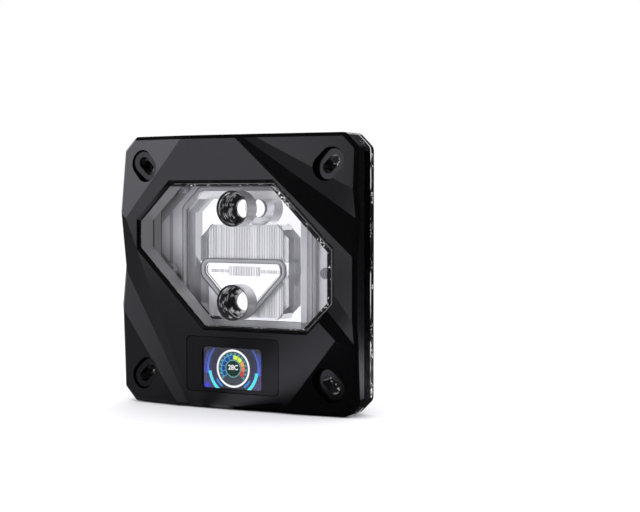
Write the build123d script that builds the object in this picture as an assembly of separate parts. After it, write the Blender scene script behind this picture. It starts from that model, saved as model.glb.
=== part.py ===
from build123d import *
import math
import os

# A square liquid cooling block for a processor, upright: x to the right, z up, front towards -y.
# Levels are distances forward of the cold plate's contact face, which lies at y = 0.

# Outline that the cover, the clear body and the rear frame share
side_length = 99.5
corner_cut = 5.2
corner_bend = 3.0
half_side = side_length / 2

# Thickness of each layer, from the contact face forward
pad_thickness = 4.0
flange_thickness = 4.0
frame_thickness = 2.0
body_thickness = 7.5
cover_depth = 7.0
frame_back = pad_thickness + flange_thickness
body_back = frame_back + frame_thickness
cover_back = body_back + body_thickness
front_level = cover_back + cover_depth

# Air left between seats, seals, screws and threads and what holds them
seat_gap = 0.05
thread_gap = 0.05
screw_gap = 0.1
seal_gap = 0.1
part_gap = 0.15
pocket_gap = 0.3

# Mounting slots, each along the diagonal through its corner
slot_inset = 11.0
slot_spacing = side_length - 2 * slot_inset
slot_width = 4.2
slot_travel = 3.54
recess_width = 9.5
recess_depth = 3.3

# Window in the cover, its bevelled rim, and the block of the clear body that fills it
window_side_inset = 8.45
window_top_inset = 16.35
window_bottom_inset = 28.45
window_half_width = half_side - window_side_inset
window_top = half_side - window_top_inset
window_drop = half_side - window_bottom_inset
window_height = window_top + window_drop
window_cut_shares = (0.265, 0.4405, 0.194, 0.53)
window_cuts = [share * window_height for share in window_cut_shares]
rim_bevel = 1.3
window_bevel = 0.35
window_gap = 0.2
block_inset = rim_bevel + window_gap
block_recess = 0.4
block_front = front_level - block_recess
body_edge_bevel = 0.5

# Facets of the cover: how far the lowest of them drops, and the bevel round its front edge
facet_drop = 4.0
cover_bevel = 1.4

# Rear frame: the bevel round its back
frame_bevel = 1.8

# Cold plate from the outside in: flange, boss through the rear frame, contact pad
flange_width_share = 0.804
flange_height_share = 0.73
flange_half_width = half_side * flange_width_share
flange_half_height = half_side * flange_height_share
flange_cut = 8.9
flange_bevel = 0.6
flange_lap = 1.5
boss_half_width = flange_half_width - flange_lap
boss_half_height = flange_half_height - flange_lap
boss_cut = 8.0
pad_width_share = 0.575
pad_height_share = 0.76
pad_half_width = flange_half_width * pad_width_share
pad_half_height = flange_half_height * pad_height_share
pad_cut = 5.1

# Screws that hold the cold plate: at its corners and at the middle of its sides
screw_across_share = 0.695
screw_up_share = 0.846
screw_side_share = 0.825
plate_screw_across = flange_half_width * screw_across_share
plate_screw_up = flange_half_height * screw_up_share
plate_screw_side = flange_half_width * screw_side_share
plate_screw_head_radius = 3.5
plate_screw_head_height = 2.2
plate_screw_radius = 1.95
plate_screw_reach = 3.7
plate_screw_cone_radius = 2.6
plate_screw_cone_depth = 0.5
plate_screw_socket_radius = 1.1
plate_screw_socket_depth = 1.2

# Water chamber in the back of the clear body and the seal round it
chamber_width_share = 0.5925
chamber_height_share = 0.73
chamber_half_width = flange_half_width * chamber_width_share
chamber_half_height = flange_half_height * chamber_height_share
chamber_cut = 5.0
chamber_depth = 4.7
chamber_ceiling = body_back + chamber_depth
seal_section = 1.6
main_seal_margin = 3.0
main_seal_bend = 2.0

# Fins that stand in the chamber on a sunk floor
fin_width_share = 0.655
fin_length_share = 0.638
fin_field_width = 2 * chamber_half_width * fin_width_share
fin_length = 2 * chamber_half_height * fin_length_share
fin_height = 3.5
fin_pitch = 0.7
fin_thickness = 0.35
fin_floor = 0.5
fin_count = int(fin_field_width / fin_pitch) + 1

# Jet plate, which straddles the fins: its roof over them has a slot that is wider in the middle
jet_plate_width_share = 0.785
jet_plate_height_share = 0.653
jet_plate_half_width = chamber_half_width * jet_plate_width_share
jet_plate_half_height = chamber_half_height * jet_plate_height_share
jet_plate_cut = 5.0
jet_plate_thickness = 1.0
jet_plate_front = body_back + fin_height + jet_plate_thickness
jet_length_share = 0.78
jet_length = 2 * jet_plate_half_width * jet_length_share
jet_width = 1.4
jet_middle_share = 0.483
jet_middle_width = 3.6

# Five-sided seal on the jet plate and the pocket inside it
jet_seal_width_share = 0.914
jet_seal_top_share = 0.22
jet_seal_shoulder_share = 0.07
jet_seal_drop_share = 0.885
jet_seal_tip_share = 0.2
jet_seal_half_width = jet_plate_half_width * jet_seal_width_share
jet_seal_top = jet_plate_half_height * jet_seal_top_share
jet_seal_shoulder = -jet_plate_half_height * jet_seal_shoulder_share
jet_seal_tip = -jet_plate_half_height * jet_seal_drop_share
jet_seal_bend = 2.6
inlet_pocket_inset = 1.6
inlet_pocket_depth = 0.8

# Threaded ports, one above the other, with a narrow hole on to the chamber
port_radius = 6.58
port_floor = 0.4
port_top_inset = 10.4
port_bottom_inset = 10.3
outlet_port_height = window_top - port_top_inset
inlet_port_height = port_bottom_inset - window_drop
port_hole_radius = 3.5

# Screen: lens in its seat, gasket, display in its tray, board behind it
lens_width = 38.5
lens_height = 20.1
lens_bottom_inset = 6.05
lens_centre = lens_bottom_inset + lens_height / 2 - half_side
lens_corner = 1.8
lens_thickness = 1.0
lens_recess = 0.05
lens_bevel = 0.15
gasket_thickness = 0.2
panel_side_margin = 6.25
panel_end_margin = 2.1
panel_drop = 1.2
panel_width = lens_width - 2 * panel_side_margin
panel_height = lens_height - 2 * panel_end_margin
panel_centre = lens_centre - panel_drop
panel_thickness = 1.2
tray_wall = 0.5
tray_floor = 0.9
board_side_margin = 3.55
board_end_margin = 1.25
board_drop = 0.95
board_half_width = lens_width / 2 + board_side_margin
board_height = lens_height - 2 * board_end_margin
board_centre = lens_centre - board_drop
board_thickness = 1.0
board_corner = 1.0
board_screw_side_inset = 1.9
board_screw_end_inset = 2.6
board_screw_across = board_half_width - board_screw_side_inset
board_screw_up = board_height / 2 - board_screw_end_inset
board_screw_radius = 0.75
board_screw_head_radius = 1.4
board_screw_head_height = 0.8
board_screw_reach = 1.6
board_insert_radius = 1.1
board_insert_length = 2.0

# Levels of the screen's stack, from the cover's flat front back
lens_front = front_level - lens_recess
lens_back = lens_front - lens_thickness
lens_seat = lens_back - gasket_thickness
tray_back = lens_seat - panel_thickness - tray_floor
board_back = tray_back - board_thickness

# Parts on the back of the board: place across and up, width and height, all as shares of the board's
chip_thickness = 0.8
chip_shares = (
    (-0.39, 0.03, 0.31, 0.4),
    (0.07, 0.14, 0.18, 0.23),
    (0.42, 0.2, 0.22, 0.18),
    (0.04, -0.26, 0.13, 0.14),
    (-0.72, -0.24, 0.14, 0.09),
)

# Screws and inserts that hold the cover to the clear body, outside the screen
cover_screw_clearance = 4.2
cover_screw_inset = 4.75
cover_screw_across = board_half_width + cover_screw_clearance
cover_screw_up = half_side - cover_screw_inset
cover_screw_radius = 1.45
cover_screw_head_radius = 2.7
cover_screw_head_height = 1.5
cover_screw_reach = 3.0
cover_insert_radius = 2.0
cover_insert_length = 3.5

# Share of a small screw's shank that its drive socket takes
socket_share = 0.7

# Lead socket between the board and the bottom edge
socket_side_inset = 11.8
socket_across = board_half_width - socket_side_inset
socket_width = 8.0
socket_height = 3.0
socket_wall = 0.6
socket_recess = 0.4
socket_bottom = socket_recess - half_side
socket_top = board_centre - board_height / 2 - pocket_gap
socket_centre = (socket_top + socket_bottom) / 2
socket_length = socket_top - socket_bottom
pin_count = 4
pin_pitch = 1.5
pin_side = 0.5
pin_share = 0.65

# Lighting strip on edge round the window block, in a groove that the cover and the clear body share;
# the groove's width, the chips and the strip follow one another outwards from the block
light_chip_gap = 0.2
light_chip_length = 3.5
light_chip_thickness = 1.0
light_chip_spacing = 10.0
strip_thickness = 0.5
strip_depth = 2.9
strip_height = 6.8
strip_bottom = cover_back - strip_depth
strip_opening = 9.0
light_groove_width = 1.95

# Length by which every cutting solid runs past the material
overrun = 2.0

# Corners of the cover's facets as shares of the half side, across and up, and of the facet drop
flat_front_shares = ((-1.0, 1.0, 0.0), (1.0, 1.0, 0.0), (0.0, -1.0, 0.0))
upper_left_fold_shares = ((-0.415, 1.0, 0.0), (-1.0, 0.302, 0.0), (-0.9, 0.9, 0.8))
upper_right_outer_fold_shares = ((0.0, 1.0, 0.0), (1.0, 0.107, 0.0), (1.0, 0.382, 0.70))
upper_right_valley_shares = ((0.052, 1.0, 0.13), (1.0, 0.382, 0.70), (1.0, 0.59, 0.15))
upper_right_corner_shares = ((0.16, 1.0, 0.02), (1.0, 0.59, 0.15), (0.92, 0.92, 0.40))
right_upper_bank_shares = ((0.834, -0.139, 0.0), (0.965, -0.308, 0.0), (1.0, -0.51, 0.35))
right_lower_bank_shares = ((0.714, -0.338, 0.0), (0.842, -0.458, 0.0), (1.0, -0.51, 0.35))
lower_right_corner_shares = ((0.842, -0.458, 0.0), (0.45, -0.951, 0.0), (0.9, -0.9, 0.50))
left_stripe_shares = ((-0.828, 0.153, 0.0), (-0.352, -0.981, 0.0), (-1.0, 0.03, 0.97))
left_bank_shares = ((-1.0, 0.03, 0.97), (-0.386, -0.975, 0.13), (-1.0, -0.27, 0.42))
lower_left_corner_shares = ((-1.0, -0.27, 0.42), (-0.488, -0.975, 0.0), (-0.925, -0.925, 0.72))
bottom_sliver_shares = ((-0.024, -0.985, 0.0), (0.392, -0.921, 0.0), (0.362, -1.0, 0.30))
bottom_sliver_end_shares = ((0.392, -0.921, 0.0), (0.45, -0.951, 0.0), (0.362, -1.0, 0.30))


def layer(sketch, start, height):
    """A flat sketch in x and z, made solid from one level forward by a height."""
    return extrude(Plane.XZ.offset(start) * sketch, height)


def octagon(half_width, top, drop, cuts, grow=0.0):
    """Corners, clockwise from the upper left, of a rectangle whose corners are cut at 45 degrees."""
    widened = [cut + grow * (2 - math.sqrt(2)) for cut in cuts]
    upper_left, upper_right, lower_right, lower_left = widened
    side = half_width + grow
    high = top + grow
    low = -drop - grow
    return [
        (-side, high - upper_left),
        (-side + upper_left, high),
        (side - upper_right, high),
        (side, high - upper_right),
        (side, low + lower_right),
        (side - lower_right, low),
        (-side + lower_left, low),
        (-side, low + lower_left),
    ]


def octagon_face(half_width, top, drop, cuts, grow=0.0):
    """The face inside those corners."""
    return make_face(Polyline(*octagon(half_width, top, drop, cuts, grow), close=True))


def even_octagon(half_width, half_height, cut, grow=0.0):
    """A face that is the same above and below, with four like corner cuts."""
    return octagon_face(half_width, half_height, half_height, (cut, cut, cut, cut), grow)


def sharp_outline():
    """The square outline with its cut corners."""
    return even_octagon(half_side, half_side, corner_cut)


def outline():
    """The same outline with each bend rounded."""
    face = sharp_outline()
    return fillet(face.vertices(), corner_bend)


def window(grow=0.0):
    """The window's outline, grown or shrunk."""
    return octagon_face(window_half_width, window_top, window_drop, window_cuts, grow)


def slots(width, start, height):
    """The four mounting slots at one width."""
    half_spacing = slot_spacing / 2
    solids = []
    for across in (-1, 1):
        for up in (-1, 1):
            place = Pos(across * half_spacing, up * half_spacing)
            slot = place * Rot(0, 0, across * up * 45) * SlotCenterToCenter(slot_travel, width)
            solids.append(layer(slot, start, height))
    return Compound(children=solids)


def cylinders(places, radius, start, height):
    """Round pins or holes at places across and up, as separate solids."""
    return [layer(Pos(across, up) * Circle(radius), start, height) for across, up in places]


def facet_point(across_share, up_share, drop_share):
    """A point of the cover's front, from its shares."""
    level = front_level - drop_share * facet_drop
    return Vector(across_share * half_side, -level, up_share * half_side)


def folded(shares):
    """The square block cut off by the plane through three points, with a bevel round that cut."""
    first, second, third = (facet_point(*point) for point in shares)
    normal = (second - first).cross(third - first).normalized()
    if normal.Y > 0:
        normal = normal * -1
    size = 4 * side_length
    plane = Plane(origin=first, x_dir=(second - first).normalized(), z_dir=normal)
    front = plane * Box(size, size, size, align=(Align.CENTER, Align.CENTER, Align.MIN))
    block = layer(sharp_outline(), cover_back - side_length, 2 * side_length) - front
    return chamfer(block.faces().sort_by(Axis.Y)[0].edges(), cover_bevel)


def above(shares):
    """Everything in front of the plane through three points of the cover, and in front of its bevel."""
    size = side_length + 2 * overrun
    depth = cover_depth + 2 * overrun
    space = Pos(0, -cover_back, 0) * Box(size, depth, size, align=(Align.CENTER, Align.MAX, Align.CENTER))
    return space - folded(shares)


def valley(bank, opposite, corner):
    """Material over a valley: in front of one bank and of the ridge that its two other planes make."""
    return above(bank) & (above(opposite) + above(corner))


def lower_right_quarter():
    """The space right of the middle and below it."""
    reach = side_length
    return Pos(0, -front_level, 0) * Box(reach, reach, reach, align=(Align.MIN, Align.CENTER, Align.MAX))


def faceted_block():
    """The cover's outer form: a square block whose front is folded into facets."""
    back = layer(outline(), cover_back, side_length)
    block = back & folded(flat_front_shares)
    block -= above(upper_left_fold_shares)
    block -= valley(upper_right_outer_fold_shares, upper_right_valley_shares, upper_right_corner_shares)
    right_groove = valley(right_upper_bank_shares, right_lower_bank_shares, lower_right_corner_shares)
    block -= right_groove & lower_right_quarter()
    block -= valley(left_stripe_shares, left_bank_shares, lower_left_corner_shares)
    block -= above(bottom_sliver_shares) & above(bottom_sliver_end_shares)
    return block


def cover_screw_places():
    """Places of the four screws behind the cover."""
    return [(x * cover_screw_across, z * cover_screw_up) for x in (-1, 1) for z in (-1, 1)]


def board_screw_places():
    """Places of the four screws of the board."""
    return [(x * board_screw_across, board_centre + z * board_screw_up) for x in (-1, 1) for z in (-1, 1)]


def plate_screw_places():
    """Places of the six screws of the cold plate."""
    corners = [(x * plate_screw_across, z * plate_screw_up) for x in (-1, 1) for z in (-1, 1)]
    return corners + [(-plate_screw_side, 0), (plate_screw_side, 0)]


def tray_outline(grow=0.0):
    """The tray's rectangle, or its opening in the cover."""
    margin = 2 * (tray_wall + grow)
    return Pos(0, panel_centre) * Rectangle(panel_width + margin, panel_height + margin)


def board_outline(grow=0.0):
    """The board's rounded rectangle, or its pocket in the cover."""
    shape = RectangleRounded(2 * (board_half_width + grow), board_height + 2 * grow, board_corner)
    return Pos(0, board_centre) * shape


def lens_outline(grow=0.0):
    """The lens's rounded rectangle, or its seat."""
    shape = RectangleRounded(lens_width + 2 * grow, lens_height + 2 * grow, lens_corner)
    return Pos(0, lens_centre) * shape


def make_front_cover():
    """Faceted cover with its window, slots, screen seat and the pockets behind it."""
    cover = faceted_block()
    cover -= layer(window(-rim_bevel), cover_back - overrun, cover_depth + 2 * overrun)
    cover -= window_rim()
    cover -= slots(slot_width, cover_back - overrun, cover_depth + 2 * overrun)
    cover -= slots(recess_width, front_level - recess_depth, recess_depth + overrun)
    cover -= layer(lens_outline(part_gap), lens_seat, front_level - lens_seat + overrun)
    cover -= layer(tray_outline(part_gap), cover_back - overrun, lens_seat - cover_back + 2 * overrun)
    cover -= layer(board_outline(pocket_gap), cover_back - overrun, tray_back - cover_back + overrun)
    groove_top = strip_bottom + strip_height + part_gap
    cover -= layer(light_groove(), cover_back - overrun, groove_top - cover_back + overrun)
    cover -= socket_channel()
    cover -= cylinders(cover_screw_places(), cover_insert_radius, cover_back, cover_insert_length)
    cover -= cylinders(board_screw_places(), board_insert_radius, tray_back, board_insert_length)
    return cover


def light_groove():
    """The outer line of the light strip's groove; the window block fills its middle."""
    return window(light_groove_width - block_inset)


def window_rim():
    """The bevel round the window, from the flat front in."""
    wide = Plane.XZ.offset(front_level) * window()
    narrow = Plane.XZ.offset(front_level - rim_bevel) * window(-rim_bevel)
    return loft([narrow, wide]) + layer(window(), front_level, overrun)


def socket_channel():
    """The way out for the lead socket, from the board's pocket to the bottom edge."""
    length = socket_top + half_side + overrun
    width = socket_width + 2 * part_gap
    channel = Pos(socket_across, socket_top - length / 2) * Rectangle(width, length)
    return layer(channel, cover_back, socket_height + part_gap)


def jet_seal_outline(grow=0.0):
    """The five-sided line that the jet seal follows, with rounded bends."""
    corners = [
        (-jet_seal_half_width, jet_seal_top),
        (jet_seal_half_width, jet_seal_top),
        (jet_seal_half_width, jet_seal_shoulder),
        (jet_seal_tip_share * jet_seal_half_width, jet_seal_tip),
        (-jet_seal_tip_share * jet_seal_half_width, jet_seal_tip),
        (-jet_seal_half_width, jet_seal_shoulder),
    ]
    face = make_face(Polyline(*corners, close=True))
    face = fillet(face.vertices(), jet_seal_bend)
    if grow:
        face = offset(face, grow)
    return face


def main_seal_outline(grow=0.0):
    """The line that the main seal follows round the chamber, with rounded bends."""
    reach = main_seal_margin + seal_section / 2
    face = even_octagon(chamber_half_width, chamber_half_height, chamber_cut, reach)
    face = fillet(face.vertices(), main_seal_bend)
    if grow:
        face = offset(face, grow)
    return face


def seal_groove(line, start, depth):
    """A square groove along a seal's line."""
    half_width = seal_section / 2 + seal_gap
    return layer(line(half_width) - line(-half_width), start, depth)


def make_acrylic_body():
    """Clear body: the square layer, the window block, the ports, the chamber, the grooves and the holes."""
    square = layer(outline(), body_back, body_thickness)
    square = chamfer(square.faces().sort_by(Axis.Y)[0].edges(), body_edge_bevel)
    square = chamfer(square.faces().sort_by(Axis.Y)[-1].edges(), body_edge_bevel)
    block = layer(window(-block_inset), body_back, block_front - body_back)
    block = chamfer(block.faces().sort_by(Axis.Y)[0].edges(), window_bevel)
    groove_bottom = strip_bottom - part_gap
    square -= layer(light_groove(), groove_bottom, cover_back - groove_bottom + overrun)
    body = square + block
    body -= water_ways()
    body -= seal_groove(main_seal_outline, body_back - overrun, overrun + seal_section + seal_gap)
    body -= slots(slot_width + 2 * screw_gap, body_back - overrun, body_thickness + 2 * overrun)
    hole_depth = plate_screw_reach + screw_gap + overrun
    body -= cylinders(plate_screw_places(), plate_screw_radius + thread_gap, body_back - overrun, hole_depth)
    shank_hole = cover_screw_radius + screw_gap
    body -= cylinders(cover_screw_places(), shank_hole, body_back - overrun, body_thickness + 2 * overrun)
    head_hole = cover_screw_head_radius + screw_gap
    for across, up in cover_screw_places():
        body -= countersink(across, up, head_hole, cover_screw_radius, cover_screw_head_height)
    return body


def water_ways():
    """The hollows for the water: chamber, pocket over the jet, seal groove, ports and their holes."""
    seal_top = jet_plate_front + seal_section + seal_gap
    thread_end = seal_top + port_floor
    ports = [(0, outlet_port_height), (0, inlet_port_height)]
    chamber = even_octagon(chamber_half_width, chamber_half_height, chamber_cut)
    ways = layer(chamber, body_back - overrun, chamber_depth + overrun)
    ways += layer(jet_seal_outline(-inlet_pocket_inset), chamber_ceiling, inlet_pocket_depth)
    ways += seal_groove(jet_seal_outline, chamber_ceiling, seal_top - chamber_ceiling)
    ways += cylinders(ports, port_radius, thread_end, block_front - thread_end + overrun)
    ways += cylinders(ports, port_hole_radius, chamber_ceiling, thread_end - chamber_ceiling)
    return ways


def countersink(across, up, head_radius, shank_radius, height):
    """A cone from the back of the clear body forward."""
    wide = Plane.XZ.offset(body_back) * Pos(across, up) * Circle(head_radius)
    narrow = Plane.XZ.offset(body_back + height) * Pos(across, up) * Circle(shank_radius)
    return loft([wide, narrow])


def make_rear_frame():
    """Rear frame: a square plate bevelled to the back, open round the cold plate's boss."""
    frame = layer(outline(), frame_back, frame_thickness)
    back_edges = frame.faces().sort_by(Axis.Y)[-1].edges()
    frame = chamfer(back_edges, frame_bevel)
    opening = even_octagon(boss_half_width, boss_half_height, boss_cut, pocket_gap)
    frame -= layer(opening, frame_back - overrun, frame_thickness + 2 * overrun)
    frame -= slots(slot_width, frame_back - overrun, frame_thickness + 2 * overrun)
    return frame


def make_cold_plate():
    """Cold plate: contact pad, flange, boss, and the fins that stand in the chamber."""
    pad = layer(even_octagon(pad_half_width, pad_half_height, pad_cut), 0, pad_thickness)
    flange = even_octagon(flange_half_width, flange_half_height, flange_cut)
    flange = layer(flange, pad_thickness, flange_thickness)
    flange = chamfer(flange.faces().sort_by(Axis.Y)[-1].edges(), flange_bevel)
    boss = even_octagon(boss_half_width, boss_half_height, boss_cut)
    boss = layer(boss, frame_back, frame_thickness - seat_gap)
    plate = pad + flange + boss
    sunk = Rectangle(fin_row_width(), fin_length)
    plate -= layer(sunk, body_back - seat_gap - fin_floor, fin_floor + overrun)
    plate += fins()
    places = plate_screw_places()
    head_hole = plate_screw_head_radius + screw_gap
    shank_hole = plate_screw_radius + screw_gap
    plate -= cylinders(places, head_hole, pad_thickness - overrun, plate_screw_head_height + overrun)
    plate -= cylinders(places, shank_hole, pad_thickness, body_back - pad_thickness + overrun)
    return plate


def fin_row_width():
    """Width of the whole row of fins."""
    return (fin_count - 1) * fin_pitch + fin_thickness


def fins():
    """Upright fins in a row, from their sunk floor to just under the jet plate."""
    first = -(fin_count - 1) * fin_pitch / 2
    floor = body_back - seat_gap - fin_floor
    centres = [first + number * fin_pitch for number in range(fin_count)]
    shape = Rectangle(fin_thickness, fin_length)
    return [layer(Pos(centre, 0) * shape, floor, fin_floor + fin_height) for centre in centres]


def make_jet_plate():
    """Jet plate: a roof with a stepped slot, and a skirt on both sides of the fins, open at their ends."""
    shape = even_octagon(jet_plate_half_width, jet_plate_half_height, jet_plate_cut)
    plate = layer(shape, body_back, fin_height + jet_plate_thickness)
    tunnel = Rectangle(fin_row_width() + 2 * part_gap, 2 * (jet_plate_half_height + overrun))
    plate -= layer(tunnel, body_back - overrun, fin_height + overrun)
    jet = Rectangle(jet_length, jet_width) + Rectangle(jet_length * jet_middle_share, jet_middle_width)
    return plate - layer(jet, body_back, fin_height + jet_plate_thickness + overrun)


def swept_seal(line, centre_level):
    """A round cord swept along a seal's closed line."""
    path = (Plane.XZ.offset(centre_level) * line()).wire()
    start = Plane(origin=path @ 0, z_dir=path % 0)
    return sweep(start * Circle(seal_section / 2), path=path)


def make_jet_seal():
    """Five-sided seal between the jet plate and the clear body."""
    return swept_seal(jet_seal_outline, jet_plate_front + seal_section / 2)


def make_main_seal():
    """Seal between the cold plate and the clear body, round the chamber."""
    return swept_seal(main_seal_outline, body_back + seal_section / 2)


def make_plate_screws():
    """Six flush screws with a turned cone and a hexagon socket in the head."""
    screws = []
    for across, up in plate_screw_places():
        place = Pos(across, up)
        screw = layer(place * Circle(plate_screw_head_radius), pad_thickness, plate_screw_head_height)
        length = body_back - pad_thickness + plate_screw_reach
        screw += layer(place * Circle(plate_screw_radius), pad_thickness, length)
        cone_end = pad_thickness + plate_screw_cone_depth
        wide = Plane.XZ.offset(pad_thickness) * place * Circle(plate_screw_cone_radius)
        narrow = Plane.XZ.offset(cone_end) * place * Circle(plate_screw_socket_radius)
        screw -= loft([wide, narrow])
        socket = place * RegularPolygon(plate_screw_socket_radius, 6)
        screw -= layer(socket, pad_thickness, plate_screw_cone_depth + plate_screw_socket_depth)
        screws.append(screw)
    return screws


def make_cover_screws():
    """Four countersunk screws from the back of the clear body into the cover."""
    screws = []
    length = body_thickness + cover_screw_reach
    for across, up in cover_screw_places():
        screw = layer(Pos(across, up) * Circle(cover_screw_radius), body_back, length)
        screw += countersink(across, up, cover_screw_head_radius, cover_screw_radius, cover_screw_head_height)
        socket = Pos(across, up) * RegularPolygon(cover_screw_radius * socket_share, 6)
        screws.append(screw - layer(socket, body_back, cover_screw_head_height))
    return screws


def tube_inserts(places, outer_radius, inner_radius, start, length):
    """Threaded inserts as short tubes."""
    ring = Circle(outer_radius) - Circle(inner_radius)
    return [layer(Pos(across, up) * ring, start, length) for across, up in places]


def make_cover_inserts():
    """Four inserts in the back of the cover."""
    inner = cover_screw_radius + thread_gap
    return tube_inserts(cover_screw_places(), cover_insert_radius, inner, cover_back, cover_insert_length)


def make_board_inserts():
    """Four inserts in front of the board."""
    inner = board_screw_radius + thread_gap
    return tube_inserts(board_screw_places(), board_insert_radius, inner, tray_back, board_insert_length)


def make_board_screws():
    """Four pan-head screws from behind the board."""
    screws = []
    for across, up in board_screw_places():
        place = Pos(across, up)
        head_top = board_back - board_screw_head_height
        head = layer(place * Circle(board_screw_head_radius), head_top, board_screw_head_height)
        shank = layer(place * Circle(board_screw_radius), board_back, board_thickness + board_screw_reach)
        socket = place * RegularPolygon(board_screw_radius * socket_share, 6)
        screws.append(head + shank - layer(socket, head_top, board_screw_head_height / 2))
    return screws


def make_screen_lens():
    """Dark lens over the display."""
    lens = layer(lens_outline(), lens_back, lens_thickness)
    return chamfer(lens.faces().sort_by(Axis.Y)[0].edges(), lens_bevel)


def make_lens_gasket():
    """Thin frame that bonds the lens to its seat."""
    return layer(lens_outline() - tray_outline(), lens_seat, gasket_thickness)


def make_display_panel():
    """Lit panel in its tray."""
    panel = Pos(0, panel_centre) * Rectangle(panel_width - 2 * seal_gap, panel_height - 2 * seal_gap)
    return layer(panel, tray_back + tray_floor, panel_thickness)


def make_display_tray():
    """Folded tray round the panel, open to the front."""
    tray = layer(tray_outline(), tray_back, tray_floor + panel_thickness)
    inside = Pos(0, panel_centre) * Rectangle(panel_width, panel_height)
    return tray - layer(inside, tray_back + tray_floor, panel_thickness + overrun)


def make_display_board():
    """Circuit board behind the display, drilled for its screws."""
    board = layer(board_outline(), board_back, board_thickness)
    hole = board_screw_radius + screw_gap
    through = board_thickness + 2 * overrun
    return board - cylinders(board_screw_places(), hole, board_back - overrun, through)


def make_board_chips():
    """Square parts on the back of the board."""
    chips = []
    for across_share, up_share, width_share, height_share in chip_shares:
        place = Pos(across_share * board_half_width, board_centre + up_share * board_height)
        shape = place * Rectangle(width_share * board_half_width, height_share * board_height)
        chips.append(layer(shape, board_back - chip_thickness, chip_thickness))
    return chips


def make_lead_socket():
    """Housing of the lead socket, open downwards."""
    shell = Pos(socket_across, socket_centre) * Rectangle(socket_width, socket_length)
    inside_place = Pos(socket_across, socket_centre - socket_wall)
    inside = inside_place * Rectangle(socket_width - 2 * socket_wall, socket_length)
    housing = layer(shell, cover_back, socket_height)
    return housing - layer(inside, cover_back + socket_wall, socket_height - 2 * socket_wall)


def make_socket_pins():
    """A row of square pins that stand on the inner end of the socket."""
    first = socket_across - (pin_count - 1) * pin_pitch / 2
    top = socket_top - socket_wall
    length = socket_length * pin_share
    level = cover_back + (socket_height - pin_side) / 2
    pins = []
    for number in range(pin_count):
        place = Pos(first + number * pin_pitch, top - length / 2)
        pins.append(layer(place * Rectangle(pin_side, length), level, pin_side))
    return pins


def make_light_strip():
    """Flat strip on edge round the window block, open at the bottom."""
    inner = light_chip_gap + light_chip_thickness - block_inset
    outer = inner + strip_thickness
    height = window_drop + outer
    gap = Pos(0, -height) * Rectangle(strip_opening, height)
    return layer(window(outer) - window(inner) - gap, strip_bottom, strip_height)


def make_light_chips():
    """Light-emitting chips on the inner face of the strip, towards the window block."""
    reach = light_chip_gap + light_chip_thickness - block_inset
    corners = octagon(window_half_width, window_top, window_drop, window_cuts, reach)
    level = strip_bottom + (strip_height - light_chip_length) / 2
    shape = Rectangle(light_chip_length, light_chip_thickness, align=(Align.CENTER, Align.MAX))
    chips = []
    for start, end in zip(corners, corners[1:] + corners[:1]):
        run = math.hypot(end[0] - start[0], end[1] - start[1])
        turn = math.degrees(math.atan2(end[1] - start[1], end[0] - start[0]))
        count = int(run / light_chip_spacing)
        for number in range(count):
            share = (number + 0.5) / count
            across = start[0] + (end[0] - start[0]) * share
            up = start[1] + (end[1] - start[1]) * share
            if up > -window_drop - reach or abs(across) > (strip_opening + light_chip_length) / 2:
                chips.append(layer(Pos(across, up) * Rot(0, 0, turn) * shape, level, light_chip_length))
    return chips


def as_one(shape):
    """A single shape for export, also from a list of separate solids."""
    return Compound(children=list(shape)) if isinstance(shape, list) else shape


makers = {
    "front_cover": make_front_cover,
    "acrylic_body": make_acrylic_body,
    "rear_frame": make_rear_frame,
    "cold_plate": make_cold_plate,
    "jet_plate": make_jet_plate,
    "jet_seal": make_jet_seal,
    "main_seal": make_main_seal,
    "plate_screws": make_plate_screws,
    "cover_screws": make_cover_screws,
    "cover_inserts": make_cover_inserts,
    "screen_lens": make_screen_lens,
    "lens_gasket": make_lens_gasket,
    "display_panel": make_display_panel,
    "display_tray": make_display_tray,
    "display_board": make_display_board,
    "board_chips": make_board_chips,
    "board_screws": make_board_screws,
    "board_inserts": make_board_inserts,
    "lead_socket": make_lead_socket,
    "socket_pins": make_socket_pins,
    "light_strip": make_light_strip,
    "light_chips": make_light_chips,
}

os.makedirs("parts", exist_ok=True)
for name, maker in makers.items():
    export_step(as_one(maker()), f"parts/{name}.step")
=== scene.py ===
"""CPU water block: looks of the CAD nodes, port threads, screen picture and stage, all in the CAD's frame."""
import math

import bmesh
import bpy
from mathutils import Matrix, Vector


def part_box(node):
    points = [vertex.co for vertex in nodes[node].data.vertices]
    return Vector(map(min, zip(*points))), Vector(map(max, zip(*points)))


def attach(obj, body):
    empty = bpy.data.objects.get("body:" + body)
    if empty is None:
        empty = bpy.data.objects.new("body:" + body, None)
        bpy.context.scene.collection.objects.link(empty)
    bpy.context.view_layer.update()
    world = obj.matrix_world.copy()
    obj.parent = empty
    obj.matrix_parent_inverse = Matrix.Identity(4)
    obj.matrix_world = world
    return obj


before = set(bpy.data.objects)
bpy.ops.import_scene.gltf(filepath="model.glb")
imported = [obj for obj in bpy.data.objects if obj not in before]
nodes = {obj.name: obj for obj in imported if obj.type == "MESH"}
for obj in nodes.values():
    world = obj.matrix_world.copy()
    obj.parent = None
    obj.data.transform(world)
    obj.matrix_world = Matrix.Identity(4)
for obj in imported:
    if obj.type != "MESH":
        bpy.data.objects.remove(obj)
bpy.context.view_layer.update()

MM = 0.001
DIAGONAL = 0.70711
EVEN = (1, 1, 1)
EDGE_SOFTNESS = 0.05 * MM

# Corner slots: how far out along the diagonal their middles stand, and half of their travel
SLOT_REACH = 38.75 * math.sqrt(2) * MM
SLOT_HALF_TRAVEL = 1.77 * MM

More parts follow.
